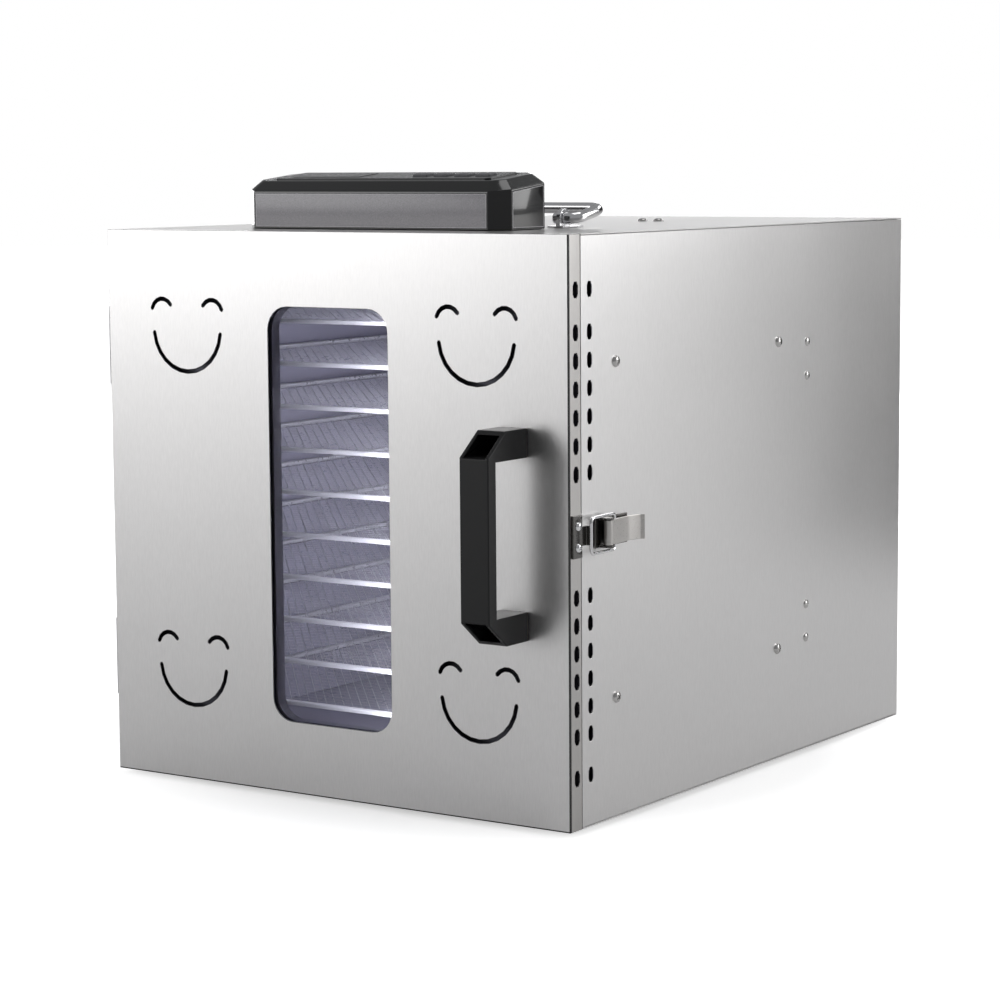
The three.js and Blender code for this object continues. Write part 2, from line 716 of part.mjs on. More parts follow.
function makeLatch() {
  const x0 = halfWidth + fit;
  const x1 = x0 + latchPlate;
  const half = latchWidth / 2;
  const plateHalf = loopWidth / 2 + 1;
  const lipY = loopBarY + loopWire;
  const lipTop = halfWidth + loopBarOut - loopWire / 2 - loopOverLip;
  const catchPlate = box(x0, x1, 3, doorThickness - 1, latchZ - plateHalf, latchZ + plateHalf);
  const tongue = box(x0, x1, 3, lipY + latchPlate, latchZ - half + 2, latchZ + half - 2);
  const lip = box(x0, lipTop, lipY, lipY + latchPlate, latchZ - half + 2, latchZ + half - 2);
  add('latch_catch', join(catchPlate, tongue, lip), 'chrome');

  const earOuter = half + fit + latchPlate;
  const basePlate = box(x0, x1, leverPivotY - 9, leverPivotY + 34, latchZ - earOuter, latchZ + earOuter);
  const pivotX = halfWidth + leverPivotOut;
  const ears = [-1, 1].map((side) => {
    const [z0, z1] = [side * (half + fit), side * earOuter].sort((a, b) => a - b);
    const foot = box(x0, pivotX, leverPivotY - 4, leverPivotY + 4, latchZ + z0, latchZ + z1);
    const round = disc(4, latchPlate, 20).rotateX(Math.PI / 2)
      .translate(pivotX, leverPivotY, latchZ + (z0 + z1) / 2);
    return join(foot, round);
  });
  add('latch_base', join(basePlate, ...ears), 'chrome');

  const under = halfWidth + 4.6;
  const thick = leverThickness;
  const barrel = disc(3.4, latchWidth, 20).rotateX(Math.PI / 2).translate(pivotX, leverPivotY, latchZ);
  const pad = upright([
    [under + 0.6, leverPivotY], [under + 0.6 + thick + 1.6, leverPivotY],
    [under + thick + 1.2, loopPivotY + 6], [under + thick, leverTipY - 16], [under + thick, leverTipY - 10],
    [under + thick + 2.6, leverTipY - 2], [under + thick + 5, leverTipY], [under + 3.6 + thick, leverTipY + 1],
    [under + 1.8, leverTipY - 1.6], [under, leverTipY - 9], [under, leverTipY - 17],
  ], latchZ - half, latchZ + half);
  add('latch_lever', join(barrel, pad), 'chrome');
}

function makeLatchLoop() {
  const side = (loopWidth - loopWire) / 2;
  const inward = latchWidth / 2 + fit;
  const pivotX = halfWidth + leverPivotOut - 0.5;
  const barX = halfWidth + loopBarOut;
  const at = (x, y, z) => new THREE.Vector3(x, y, latchZ + z);
  const small = side - inward - 0.4;
  const corners = [
    [at(pivotX, loopPivotY, -inward), 0], [at(pivotX, loopPivotY, -side), small],
    [at(barX, loopBarY, -side), 4], [at(barX, loopBarY, side), 4],
    [at(pivotX, loopPivotY, side), small], [at(pivotX, loopPivotY, inward), 0],
  ];
  const normal = new THREE.Vector3(loopPivotY - loopBarY, barX - pivotX, 0).normalize();
  add('latch_loop', rod(roundedPath(corners, arcSteps - 1), normal, loopWire / 2, 8), 'chrome');
}

// ---- control housing ----------------------------------------------------------------------------------
function housingRing(inset, height) {
  const x = housingHalfWidth - inset;
  const y0 = housingFrontY + inset;
  const y1 = housingFrontY + housingDepth - inset;
  const corner = housingCorner - inset * 0.4;
  const outline = [
    [-x + corner, y0], [x - corner, y0], [x, y0 + corner], [x, y1 - corner],
    [x - corner, y1], [-x + corner, y1], [-x, y1 - corner], [-x, y0 + corner],
  ];
  return outline.map(([px, py]) => [px, py, height(py)]);
}

function housingBody(inset) {
  const rise = (base) => (y) => cabinetHeight + base + Math.tan(housingSlope) * (y - housingFrontY) - inset;
  const bottom = () => cabinetHeight + fit - (inset > 0 ? 5 : 0);
  return loft([
    housingRing(inset, bottom),
    housingRing(inset, rise(housingFrontHeight)),
    housingRing(inset + housingChamferIn, rise(housingFrontHeight + housingChamferRise)),
  ]);
}

// Pieces on the sloping top are drawn flat about the middle of the top, then turned and moved there.
function ontoTop(geometry) {
  const middleY = housingFrontY + housingDepth / 2;
  const topZ = cabinetHeight + housingFrontHeight + housingChamferRise
    + Math.tan(housingSlope) * (middleY - housingFrontY);
  return geometry.rotateX(housingSlope).translate(0, middleY, topZ);
}

function buttonX(index) {
  return panelLength / 2 - 16 - (buttonCount - 1 - index) * buttonPitch;
}

function makeControls() {
  const recess = box(-panelLength / 2 - fit, panelLength / 2 + fit, -panelDepth / 2 - fit,
    panelDepth / 2 + fit, -panelRecess, 10);
  add('control_housing', cut(housingBody(0), housingBody(housingWall), ontoTop(recess)), 'black');

  const panelLow = -panelRecess + fit;
  const panelHigh = panelLow + panelThickness;
  const displayX = -panelLength / 2 + 12 + displayLength / 2;
  const windows = [box(displayX - displayLength / 2 - fit, displayX + displayLength / 2 + fit,
    -displayDepth / 2 - fit, displayDepth / 2 + fit, -10, 10)];
  for (let i = 0; i < buttonCount; i += 1) {
    const half = buttonLength / 2 + buttonGap;
    windows.push(box(buttonX(i) - half, buttonX(i) + half, -buttonDepth / 2 - buttonGap,
      buttonDepth / 2 + buttonGap, -10, 10));
  }
  const panel = cut(flat(roundedRectangle(0, 0, panelLength, panelDepth, 4), panelLow, panelHigh), ...windows);
  add('control_panel', ontoTop(panel), 'gloss');
  add('display_window', ontoTop(box(displayX - displayLength / 2, displayX + displayLength / 2,
    -displayDepth / 2, displayDepth / 2, panelLow, panelHigh + 0.3)), 'gloss');
  for (let i = 0; i < buttonCount; i += 1) {
    add(`button_${i + 1}`, ontoTop(box(buttonX(i) - buttonLength / 2, buttonX(i) + buttonLength / 2,
      -buttonDepth / 2, buttonDepth / 2, buttonTravel + fit - panelRecess, panelHigh + buttonStands)), 'rubber');
  }

  const boardHalf = 75;
  const boardY0 = housingFrontY + housingWall + 10;
  const boardY1 = housingFrontY + housingDepth - housingWall - 10;
  const boardZ = cabinetHeight + 9;
  const posts = [-1, 1].flatMap((side) => [boardY0 + 5, boardY1 - 5].map((y) => disc(3, 9, 12)
    .rotateX(Math.PI / 2).translate(side * (boardHalf - 6), y, cabinetHeight + fit + 4.5)));
  add('control_board',
    join(box(-boardHalf, boardHalf, boardY0, boardY1, boardZ, boardZ + 1.6), ...posts), 'board');
}

// ---- carry handle ---------------------------------------------------------------------------------------

function makeCarryHandle() {
  const inner = carryHalfWidth - carryStubLength;
  const pivot = (x) => new THREE.Vector3(x, carryPivotY, carryPivotZ);
  const grip = (x) => new THREE.Vector3(x, carryPivotY + carryReach, carryPivotZ + carryRise);
  const corners = [
    [pivot(-inner), 0], [pivot(-carryHalfWidth), carryStubCorner],
    [grip(-carryHalfWidth), carryCorner], [grip(carryHalfWidth), carryCorner],
    [pivot(carryHalfWidth), carryStubCorner], [pivot(inner), 0],
  ];
  const normal = new THREE.Vector3(0, -carryRise, carryReach).normalize();
  add('carry_handle', rod(roundedPath(corners, arcSteps), normal, carryRod / 2, 14), 'chrome');
  const bore = carryRod / 2 + fit + 0.2;
  const outer = bore + eyeWall;
  for (const [name, side] of [['handle_bracket_left', -1], ['handle_bracket_right', 1]]) {
    const x = side * (carryHalfWidth - carryRod / 2 - eyeFromRod);
    const eye = disc(outer, eyeWidth, 24).rotateZ(Math.PI / 2).translate(x, carryPivotY, carryPivotZ);
    const flatFloor = cabinetHeight + fit;
    const foot = box(x - 7, x + 7, carryPivotY - outer - 4, carryPivotY + outer + 10, flatFloor, flatFloor + 1.2);
    const web = box(x - eyeWidth / 2, x + eyeWidth / 2, carryPivotY - outer, carryPivotY + outer,
      flatFloor, carryPivotZ);
    const hole = disc(bore, 40, 24).rotateZ(Math.PI / 2).translate(x, carryPivotY, carryPivotZ);
    const below = box(x - 20, x + 20, carryPivotY - 40, carryPivotY + 40, cabinetHeight - 20, flatFloor);
    add(name, cut(join(eye, web, foot), hole, below), 'chrome');
  }
}

// ---- assembly -----------------------------------------------------------------------------------------
makeShell();
makeRearPanel();
makeFrontFrame();
makeChamber();
for (let i = 0; i < trayCount; i += 1) makeTray(i);
makeBaffle();
makeGuard();
makeImpeller();
makeMotor();
makeHeater();
makeSensors();
makeInlet();
makeFeet();
makeDoorSkin();
makeDoorInside();
makeDoorHandle();
makeHinges();
makeLatch();
makeLatchLoop();
makeControls();
makeCarryHandle();

const bounds = new THREE.Box3().setFromObject(object);
const middle = bounds.getCenter(new THREE.Vector3());
object.position.set(-middle.x, -middle.y, -bounds.min.z);
object.updateMatrixWorld(true);

export default object;
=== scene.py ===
# %% [markdown]
# # A food dehydrator with ten trays
# The cabinet, the door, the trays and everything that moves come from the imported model.
# This script gives them their finish and adds what is too fine for that model: screws, rivets,
# the woven mesh of the trays and the small round edges that catch the light.
# It starts by loading the frame. Every part keeps the place that it has there.

# %% Load the frame
import bmesh
import bpy
import json
import math
from mathutils import Matrix, Vector

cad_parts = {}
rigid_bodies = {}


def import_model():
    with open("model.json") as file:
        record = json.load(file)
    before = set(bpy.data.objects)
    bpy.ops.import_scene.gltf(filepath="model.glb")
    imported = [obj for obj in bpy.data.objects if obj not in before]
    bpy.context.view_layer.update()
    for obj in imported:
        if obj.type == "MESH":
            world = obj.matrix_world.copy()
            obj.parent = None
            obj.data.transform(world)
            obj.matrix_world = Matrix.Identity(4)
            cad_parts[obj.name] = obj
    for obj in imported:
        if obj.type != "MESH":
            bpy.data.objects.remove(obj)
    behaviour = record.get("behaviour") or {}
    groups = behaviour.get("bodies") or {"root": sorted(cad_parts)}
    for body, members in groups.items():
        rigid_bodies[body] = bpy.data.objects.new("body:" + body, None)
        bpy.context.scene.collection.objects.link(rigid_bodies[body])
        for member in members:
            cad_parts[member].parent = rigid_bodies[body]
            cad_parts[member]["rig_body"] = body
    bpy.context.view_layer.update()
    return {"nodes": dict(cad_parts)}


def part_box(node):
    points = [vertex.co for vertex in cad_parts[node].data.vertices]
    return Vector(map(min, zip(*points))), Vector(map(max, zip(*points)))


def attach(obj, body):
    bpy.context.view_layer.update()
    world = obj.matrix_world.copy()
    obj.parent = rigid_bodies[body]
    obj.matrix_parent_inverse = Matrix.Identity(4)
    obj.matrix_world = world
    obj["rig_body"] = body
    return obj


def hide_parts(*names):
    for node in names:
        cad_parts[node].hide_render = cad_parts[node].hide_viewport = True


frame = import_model()
nodes = frame["nodes"]
MM = 0.001

# %% [markdown]
# ## Camera
# A product picture of a box is usually taken from a little above and to one side, with a long
# lens, so that the upright edges stay nearly upright. The camera's three axes are worked out
# from its azimuth, elevation and roll and become the columns of its matrix.

# %% Camera
lens = 104.1
azimuth = math.radians(34.061)
elevation = math.radians(6.792)
roll = math.radians(-0.425)
camera_place = Vector((1.299, -1.9332, 0.4836))

camera_data = bpy.data.cameras.new("camera")
camera_data.lens = lens
camera_data.sensor_width = 36
camera_data.clip_end = 60
camera = bpy.data.objects.new("camera", camera_data)
bpy.context.scene.collection.objects.link(camera)
backward = Vector((math.sin(azimuth) * math.cos(elevation),
                   -math.cos(azimuth) * math.cos(elevation),
                   math.sin(elevation)))
level = Vector((0, 0, 1)).cross(backward).normalized()
upward = backward.cross(level)
side_axis = level * math.cos(roll) + upward * math.sin(roll)
up_axis = upward * math.cos(roll) - level * math.sin(roll)
camera.matrix_world = (Matrix.Translation(camera_place)
                       @ Matrix((side_axis, up_axis, backward)).transposed().to_4x4())
bpy.context.scene.camera = camera
bpy.context.scene.view_settings.view_transform = "Standard"
print("camera looks along", [round(-value, 3) for value in backward])

# %% [markdown]
# ## Node helpers
# A finish here is a small node tree. These helpers add a node, set its sockets and join
# it to others, so that each material below reads as a short recipe.

# %% Node helpers
def node(tree, kind, settings=None, **inputs):
    """Adds a node; a socket is given a value, or another node's output to read."""
    made = tree.nodes.new(kind)
    for key, value in (settings or {}).items():
        setattr(made, key, value)
    for key, value in inputs.items():
        name = key.replace("_", " ")
        socket = made.inputs[int(key[1:])] if key[0] == "i" and key[1:].isdigit() else made.inputs[name]
        if isinstance(value, bpy.types.NodeSocket):
            tree.links.new(value, socket)
        else:
            socket.default_value = value
    return made


def material(name, color, metallic=0.0, roughness=0.5, **extra):
    """A material with its Principled shader set, and the tree and shader to add to."""
    made = bpy.data.materials.new(name)
    made.use_nodes = True
    tree = made.node_tree
    shader = tree.nodes["Principled BSDF"]
    shader.inputs["Base Color"].default_value = (*color, 1)
    shader.inputs["Metallic"].default_value = metallic
    shader.inputs["Roughness"].default_value = roughness
    for key, value in extra.items():
        shader.inputs[key.replace("_", " ")].default_value = value
    return made, tree, shader


def object_noise(tree, scale, detail=2.0, stretch=(1, 1, 1)):
    """Noise over the piece's own coordinates, drawn out along an axis by a small stretch."""
    place = node(tree, "ShaderNodeTexCoord").outputs["Object"]
    turned = node(tree, "ShaderNodeMapping", Vector=place, Scale=stretch).outputs["Vector"]
    return node(tree, "ShaderNodeTexNoise", Vector=turned, Scale=scale, Detail=detail).outputs["Fac"]


def spread(tree, factor, low, high):
    """Turns the middle of a noise into the range from low to high."""
    return node(tree, "ShaderNodeMapRange", Value=factor, From_Min=0.3, From_Max=0.7,
                To_Min=low, To_Max=high).outputs["Result"]


def tint(tree, factor, dark, light):
    """A colour between two others, by a factor."""
    ramp = node(tree, "ShaderNodeValToRGB", Fac=factor)
    ramp.color_ramp.elements[0].position = 0.3
    ramp.color_ramp.elements[1].position = 0.7
    ramp.color_ramp.elements[0].color = (*dark, 1)
    ramp.color_ramp.elements[1].color = (*light, 1)
    return ramp.outputs["Color"]


def bump(tree, shader, height, strength, distance):
    made = node(tree, "ShaderNodeBump", Height=height, Strength=strength, Distance=distance)
    tree.links.new(made.outputs["Normal"], shader.inputs["Normal"])


# %% [markdown]
# ## Steel
# The sheet is brushed stainless steel: a belt has drawn fine scratches along it, all one way.
# They are much longer than they are wide, so noise is squeezed hard across the grain and left
# long along it. It changes the roughness a little and the height a very little, which spreads
# the reflections across the grain as the real scratches do.

# %% Steel
def steel(name, color, roughness, grain, wear=0.04, relief=0.06, metallic=1.0):
    made, tree, shader = material(name, color, metallic, roughness)
    streak = object_noise(tree, 1.0, 3.0, grain)
    cloud = object_noise(tree, 9.0, 2.0)
    mixed = node(tree, "ShaderNodeMath", {"operation": "MULTIPLY_ADD"}, i0=cloud, i1=0.35, i2=streak)
    mixed = node(tree, "ShaderNodeMath", {"operation": "MULTIPLY"}, i0=mixed.outputs[0], i1=0.74).outputs[0]
    tree.links.new(spread(tree, mixed, roughness - wear, roughness + wear), shader.inputs["Roughness"])
    dark = [value * 0.97 for value in color]
    light = [min(1, value * 1.02) for value in color]
    tree.links.new(tint(tree, streak, dark, light), shader.inputs["Base Color"])
    bump(tree, shader, streak, relief, 0.0004)
    return made


GRAIN_UP = (1100, 1100, 160)
GRAIN_BACK = (1100, 160, 1100)
brushed_up = steel("brushed_steel_upright", (0.80, 0.79, 0.785), 0.30, GRAIN_UP, 0.025, 0.04)
# The flat top and base panels take a darker copy of the same steel as the sides: painted shade on the top.
brushed_flat_painted_shade = steel("brushed_steel_flat_painted_shade", (0.62, 0.61, 0.605), 0.36, GRAIN_BACK, 0.03, 0.05)
# A dark, bluish copy of the steel for the chamber's roof, floor, racks and fan parts: painted shade inside
# the chamber.
inner_steel = steel("inner_steel", (0.27, 0.265, 0.325), 0.5, (500, 500, 30), 0.05, 0.04, 0.7)
tray_steel = steel("tray_steel", (0.52, 0.52, 0.55), 0.3, (300, 300, 300), 0.05, 0.02, 0.7)
# A near-white, barely metallic copy of the tray steel for the tray fronts: painted light on the rims.
tray_rim_painted_light = steel("tray_rim_painted_light", (0.97, 0.97, 0.98), 0.35, (300, 300, 300), 0.03, 0.02, 0.1)
chrome = steel("chrome", (0.86, 0.86, 0.87), 0.12, (160, 160, 160), 0.03, 0.01)
# A darker copy of the upright steel for the door's side flanges: painted shade on the door's sides.
flange_painted_shade_steel = steel("brushed_steel_flange_painted_shade", (0.56, 0.545, 0.53), 0.30, GRAIN_UP, 0.025, 0.04)
# A near-black steel for the bevel faces round the door's front: a painted dark reflection along its rounded
# edges.
door_edge_painted_dark = steel("door_edge_painted_dark_reflection", (0.07, 0.07, 0.07), 0.3, (300, 300, 300), 0.05, 0.02)
# A dark, bluish copy of the steel for the door's inner panel and the window's reveal: painted shade behind
# the door's skin.
door_inner_painted_shade_steel = steel("window_reveal_painted_shade", (0.20, 0.197, 0.23), 0.45, (500, 500, 30), 0.05, 0.04)
# A near-black copy of the steel for the latch's base and catch: painted shade round the latch.
latch_painted_shade_steel = steel("latch_steel_painted_shade", (0.16, 0.155, 0.15), 0.2, (160, 160, 160), 0.04, 0.01)
satin_steel = steel("satin_steel", (0.62, 0.60, 0.58), 0.3, (120, 900, 900), 0.05, 0.05)
screw_steel = steel("screw_steel", (0.58, 0.57, 0.56), 0.22, (900, 900, 900), 0.05, 0.02)
fan_steel = steel("fan_metal", (0.60, 0.60, 0.62), 0.35, (400, 60, 400), 0.06, 0.05)
heater_steel = steel("heater_sheath", (0.30, 0.24, 0.20), 0.45, (200, 200, 200), 0.08, 0.05)
print("steels:", brushed_up.name, brushed_flat_painted_shade.name, inner_steel.name, tray_steel.name, chrome.name)

# %% [markdown]
# ## Plastic, rubber and board
# The control housing and the handle are black moulded plastic. A mould leaves a very fine
# grain, so noise of a fraction of a millimetre moves the roughness and the height. The rubber
# is duller and the board is green lacquer over copper.

# %% Plastic, rubber and board
def moulded(name, color, roughness, grain_size, relief, variation=0.05, **extra):
    made, tree, shader = material(name, color, 0.0, roughness, **extra)
    grain = object_noise(tree, 1 / (grain_size * MM), 2.0)
    broad = object_noise(tree, 14.0, 2.0)
    tree.links.new(spread(tree, broad, roughness - variation, roughness + variation),
                   shader.inputs["Roughness"])
    dark = [value * 0.8 for value in color]
    light = [value * 1.2 for value in color]
    tree.links.new(tint(tree, grain, dark, light), shader.inputs["Base Color"])
    bump(tree, shader, grain, relief, 0.0002)
    return made


black_plastic = moulded("black_plastic", (0.005, 0.005, 0.0056), 0.38, 0.6, 0.12, Specular_IOR_Level=0.36)
gloss_plastic = moulded("gloss_plastic", (0.004, 0.0038, 0.004), 0.15, 3.0, 0.02, 0.03, Coat_Weight=0.6)
facia_plastic = moulded("housing_facia", (0.28, 0.27, 0.29), 0.24, 0.5, 0.01, 0.02,
                        Coat_Weight=0.5, Coat_Roughness=0.2)
# A light grey plastic for a thin ring just inside the housing's face edges: a painted highlight along those
# edges.
facia_painted_highlight_rim = moulded("housing_facia_painted_highlight", (0.55, 0.54, 0.56), 0.2, 0.5, 0.01, 0.02)
panel_plastic = moulded("gloss_panel", (0.01, 0.01, 0.012), 0.1, 3.0, 0.01, 0.02)
rubber = moulded("rubber", (0.018, 0.018, 0.019), 0.62, 0.8, 0.2)
button_rubber = moulded("button_rubber", (0.16, 0.16, 0.17), 0.55, 0.8, 0.15)
board = moulded("circuit_board", (0.02, 0.12, 0.05), 0.4, 1.5, 0.1)

glass = bpy.data.materials.new("window_glass")
glass.use_nodes = True
glass_tree = glass.node_tree
glass_tree.nodes.remove(glass_tree.nodes["Principled BSDF"])
smear = object_noise(glass_tree, 11.0, 3.0)
clear = node(glass_tree, "ShaderNodeBsdfTransparent",
             Color=tint(glass_tree, smear, (0.87, 0.872, 0.925), (0.90, 0.902, 0.95)))
shine = node(glass_tree, "ShaderNodeBsdfGlossy", Color=(1, 1, 1, 1), Roughness=0.02)
edge = node(glass_tree, "ShaderNodeFresnel", IOR=1.22)
glass_mix = node(glass_tree, "ShaderNodeMixShader", i0=edge.outputs[0], i1=clear.outputs[0],
                 i2=shine.outputs[0])
glass_tree.links.new(glass_mix.outputs[0], glass_tree.nodes["Material Output"].inputs["Surface"])
print("plastics:", black_plastic.name, gloss_plastic.name, panel_plastic.name, rubber.name)

# %% [markdown]
# ## Floor, backdrop and light
# The object stands on a wide pale floor under a white surround, as on a paper sweep. The
# camera sees both as white, while the steel sees a softer grey with bright panels in it: a
# mirror-like metal only looks like metal when what it reflects has light and dark in it.
# The big panel is at the front left, where the door's reflections go, and its lower edge is
# near the floor, so the door goes from bright at the top to grey at the bottom.

# %% Floor, backdrop and light
world = bpy.data.worlds.new("studio")
bpy.context.scene.world = world
world.use_nodes = True
world_tree = world.node_tree
world_tree.nodes.clear()
seen = node(world_tree, "ShaderNodeLightPath").outputs["Is Camera Ray"]
white = node(world_tree, "ShaderNodeBackground", Color=(1, 1, 1, 1), Strength=1.0)
surround = node(world_tree, "ShaderNodeBackground", Color=(0.97, 0.98, 1, 1), Strength=0.27)
sky = node(world_tree, "ShaderNodeMixShader", i0=seen, i1=surround.outputs[0], i2=white.outputs[0])
node(world_tree, "ShaderNodeOutputWorld", Surface=sky.outputs[0])

paper, paper_tree, paper_shader = material("paper_floor", (0.84, 0.84, 0.84), 0.0, 0.9)
paper_shader.inputs["Specular IOR Level"].default_value = 0.0
paper_tree.links.new(tint(paper_tree, object_noise(paper_tree, 3.0), (0.83, 0.83, 0.83), (0.86, 0.86, 0.86)),
                     paper_shader.inputs["Base Color"])
paper_shader.inputs["Emission Color"].default_value = (1, 1, 1, 1)
paper_seen = node(paper_tree, "ShaderNodeLightPath").outputs["Is Camera Ray"]
paper_place = node(paper_tree, "ShaderNodeTexCoord").outputs["Object"]
paper_reach = node(paper_tree, "ShaderNodeVectorMath", {"operation": "LENGTH"}, i0=paper_place)
# The floor's glow for the camera is half as strong within 0.25 m of the middle and full beyond 0.42 m: a
# painted shadow round the object.
painted_floor_shade_ramp = node(paper_tree, "ShaderNodeMapRange", Value=paper_reach.outputs["Value"], From_Min=0.25,
                  From_Max=0.42, To_Min=0.50, To_Max=1.0).outputs["Result"]
paper_glow_painted_shade = node(paper_tree, "ShaderNodeMath", {"operation": "MULTIPLY"}, i0=paper_seen, i1=painted_floor_shade_ramp)
paper_tree.links.new(paper_glow_painted_shade.outputs[0], paper_shader.inputs["Emission Strength"])

floor_mesh = bpy.data.meshes.new("floor")
shape = bmesh.new()
bmesh.ops.create_circle(shape, cap_ends=True, segments=96, radius=14)
shape.to_mesh(floor_mesh)
shape.free()
floor_mesh.materials.append(paper)
floor = bpy.data.objects.new("floor", floor_mesh)
bpy.context.scene.collection.objects.link(floor)


def panel_light(name, place, target, width, height, power, color=(1, 1, 1)):
    """A soft rectangular light at a place, turned to face a point."""
    data = bpy.data.lights.new(name, "AREA")
    data.shape = "RECTANGLE"
    data.size = width
    data.size_y = height
    data.energy = power
    data.color = color
    lamp = bpy.data.objects.new(name, data)
    bpy.context.scene.collection.objects.link(lamp)
    away = Vector(place) - Vector(target)
    lamp.matrix_world = Matrix.Translation(Vector(place)) @ away.to_track_quat("Z", "Y").to_matrix().to_4x4()
    return lamp


panel_light("panel_front_left", (-2.65, -2.7, 1.45), (0, 0, 0.35), 2.6, 2.5, 45.5)
panel_light("panel_right", (3.15, 2.45, 1.45), (0.2, 0, 0.25), 2.4, 2.5, 54)
panel_light("panel_left_rear", (-1.9, 3.1, 0.6), (0, 0, 0.45), 3.4, 0.7, 27)
panel_light("panel_rear_high", (0.45, 2.9, 2.2), (0, 0, 0.4), 1.6, 0.7, 9)
panel_light("panel_above", (0.3, 0.5, 3.4), (0, 0, 0.2), 1.6, 1.6, 14)

# A black card behind the object keeps the far end of the side panel grey.
flag_left, flag_right = -0.25, 0.80
flag_bottom, flag_top = 0.002, 0.9
flag_back = 1.2
flag_mesh = bpy.data.meshes.new("black_flag")
flag_corners = [(flag_left, flag_back, flag_bottom), (flag_right, flag_back, flag_bottom),
                (flag_right, flag_back, flag_top), (flag_left, flag_back, flag_top)]
flag_mesh.from_pydata(flag_corners, [], [(0, 1, 2, 3)])
black_card, card_tree, card_shader = material("black_card", (0.02, 0.02, 0.02), 0.0, 0.9)
card_tree.links.new(tint(card_tree, object_noise(card_tree, 40.0), (0.018,) * 3, (0.022,) * 3),
                    card_shader.inputs["Base Color"])
flag_mesh.materials.append(black_card)
flag = bpy.data.objects.new("black_flag", flag_mesh)
bpy.context.scene.collection.objects.link(flag)
flag.visible_camera = False
flag.visible_diffuse = False
flag.visible_shadow = False


def strip_light(name, x, target, width, power, spread_degrees, color=(1, 1, 1)):
    """An upright strip just behind the door, which lights the trays and which the camera can't see."""
    place = (x, strip_y, strip_z)
    strip = panel_light(name, place, target, width, STRIP_LENGTH, power, color)
    strip.visible_camera = False
    strip.data.spread = math.radians(spread_degrees)


STRIP_LENGTH = 350 * MM
inside_low, inside_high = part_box("chamber_floor")[1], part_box("chamber_roof")[0]
strip_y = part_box("door_seal")[1].y + 5 * MM
strip_z = (inside_low.z + inside_high.z) / 2
strip_light("chamber_glow", 0.150, (-0.19, 0.06, strip_z), 8 * MM, 0.3, 80, (0.95, 0.94, 1.0))
strip_light("tray_edge_glow", 0.072, (-0.008, strip_y + 0.08, strip_z), 5 * MM, 1.3, 92)

# %% [markdown]
# ## Clean copies with round edges
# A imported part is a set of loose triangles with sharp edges, while real sheet has a small
# radius at each fold and a broken edge at each cut. A copy is merged, its flat triangles are
# joined into faces, and a bevel rounds every edge that turns more than a set angle. The copy
# then stands for the part, and rides on the same body.

# %% Clean copies with round edges
def part_body(name):
    return nodes[name]["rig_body"]


def baked(made):
    """Turns a piece made by modifiers into a plain mesh."""
    bpy.context.view_layer.update()
    mesh = bpy.data.meshes.new_from_object(made.evaluated_get(bpy.context.evaluated_depsgraph_get()))
    made.modifiers.clear()
    made.data = mesh


def settle(made, body):
    """Bakes a piece and lets it ride on its body."""
    baked(made)
    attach(made, body)


def round_edges(made, radius, segments=2, angle=28):
    """A bevel on every edge that turns more than the angle; flat faces keep straight normals."""
    made.data.shade_smooth()
    edge_round = made.modifiers.new("edge_round", "BEVEL")
    edge_round.width = radius * MM
    edge_round.segments = segments
    edge_round.limit_method = "ANGLE"
    edge_round.angle_limit = math.radians(angle)
    edge_round.use_clamp_overlap = False
    edge_round.harden_normals = True
    even = made.modifiers.new("even_normals", "WEIGHTED_NORMAL")
    even.weight = 100
    even.keep_sharp = True


def weigh_outline(made, share):
    """Full bevel on the right front corner of a sheet, a smaller share of it elsewhere."""
    corners = [vertex.co for vertex in made.data.vertices]
    front = min(corner.y for corner in corners)
    right = max(corner.x for corner in corners)
    work = bmesh.new()
    work.from_mesh(made.data)
    weight = work.edges.layers.float.new("bevel_weight_edge")
    for line in work.edges:
        if len(line.link_faces) == 2 and line.calc_face_angle() > math.radians(28):
            ends = [corner.co for corner in line.verts]
            outer = all(end.y < front + 0.1 * MM and end.x > right - 0.1 * MM for end in ends)
            line[weight] = 1.0 if outer else share
    work.to_mesh(made.data)
    work.free()
    made.modifiers["edge_round"].limit_method = "WEIGHT"


def clean_copy(name, finish, radius, segments=2, angle=28, edge=None):
    """A merged copy of a CAD part, bevelled, standing for that part."""
    mesh = nodes[name].data.copy()
    mesh.name = name + "_finish"
    work = bmesh.new()
    work.from_mesh(mesh)
    bmesh.ops.remove_doubles(work, verts=work.verts, dist=1e-6)
    bmesh.ops.dissolve_limit(work, angle_limit=math.radians(0.5), verts=work.verts, edges=work.edges)
    work.to_mesh(mesh)
    work.free()
    made = bpy.data.objects.new(name + "_finish", mesh)
    bpy.context.scene.collection.objects.link(made)
    mesh.materials.clear()
    mesh.materials.append(finish)
    if radius > 0:
        round_edges(made, radius, segments, angle)
        # An edge finish, when given, goes on the bevel faces; the door's is a painted dark reflection.
        if edge is not None:
            mesh.materials.append(edge)
            made.modifiers["edge_round"].material = 1
            weigh_outline(made, 0.15)
    else:
        mesh.shade_smooth()
        mesh.set_sharp_from_angle(angle=math.radians(angle))
    settle(made, part_body(name))
    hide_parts(name)
    return made


# The top and base panels take the darker steel copy: painted shade on the top.
plates = {
    "side_panel_left": (brushed_up, 0.3), "side_panel_right": (brushed_up, 0.3),
    "top_panel": (brushed_flat_painted_shade, 0.3), "base_panel": (brushed_flat_painted_shade, 0.3), "rear_panel": (brushed_up, 0.3),
    "front_frame": (brushed_up, 0.3),
}
for name, (finish, radius) in plates.items():
    clean_copy(name, finish, radius)
# The door's rounded front outline takes the near-black edge steel, widest at the right front corner: a
# painted dark reflection.
door = clean_copy("door_skin", brushed_up, 1.8, 3, edge=door_edge_painted_dark)
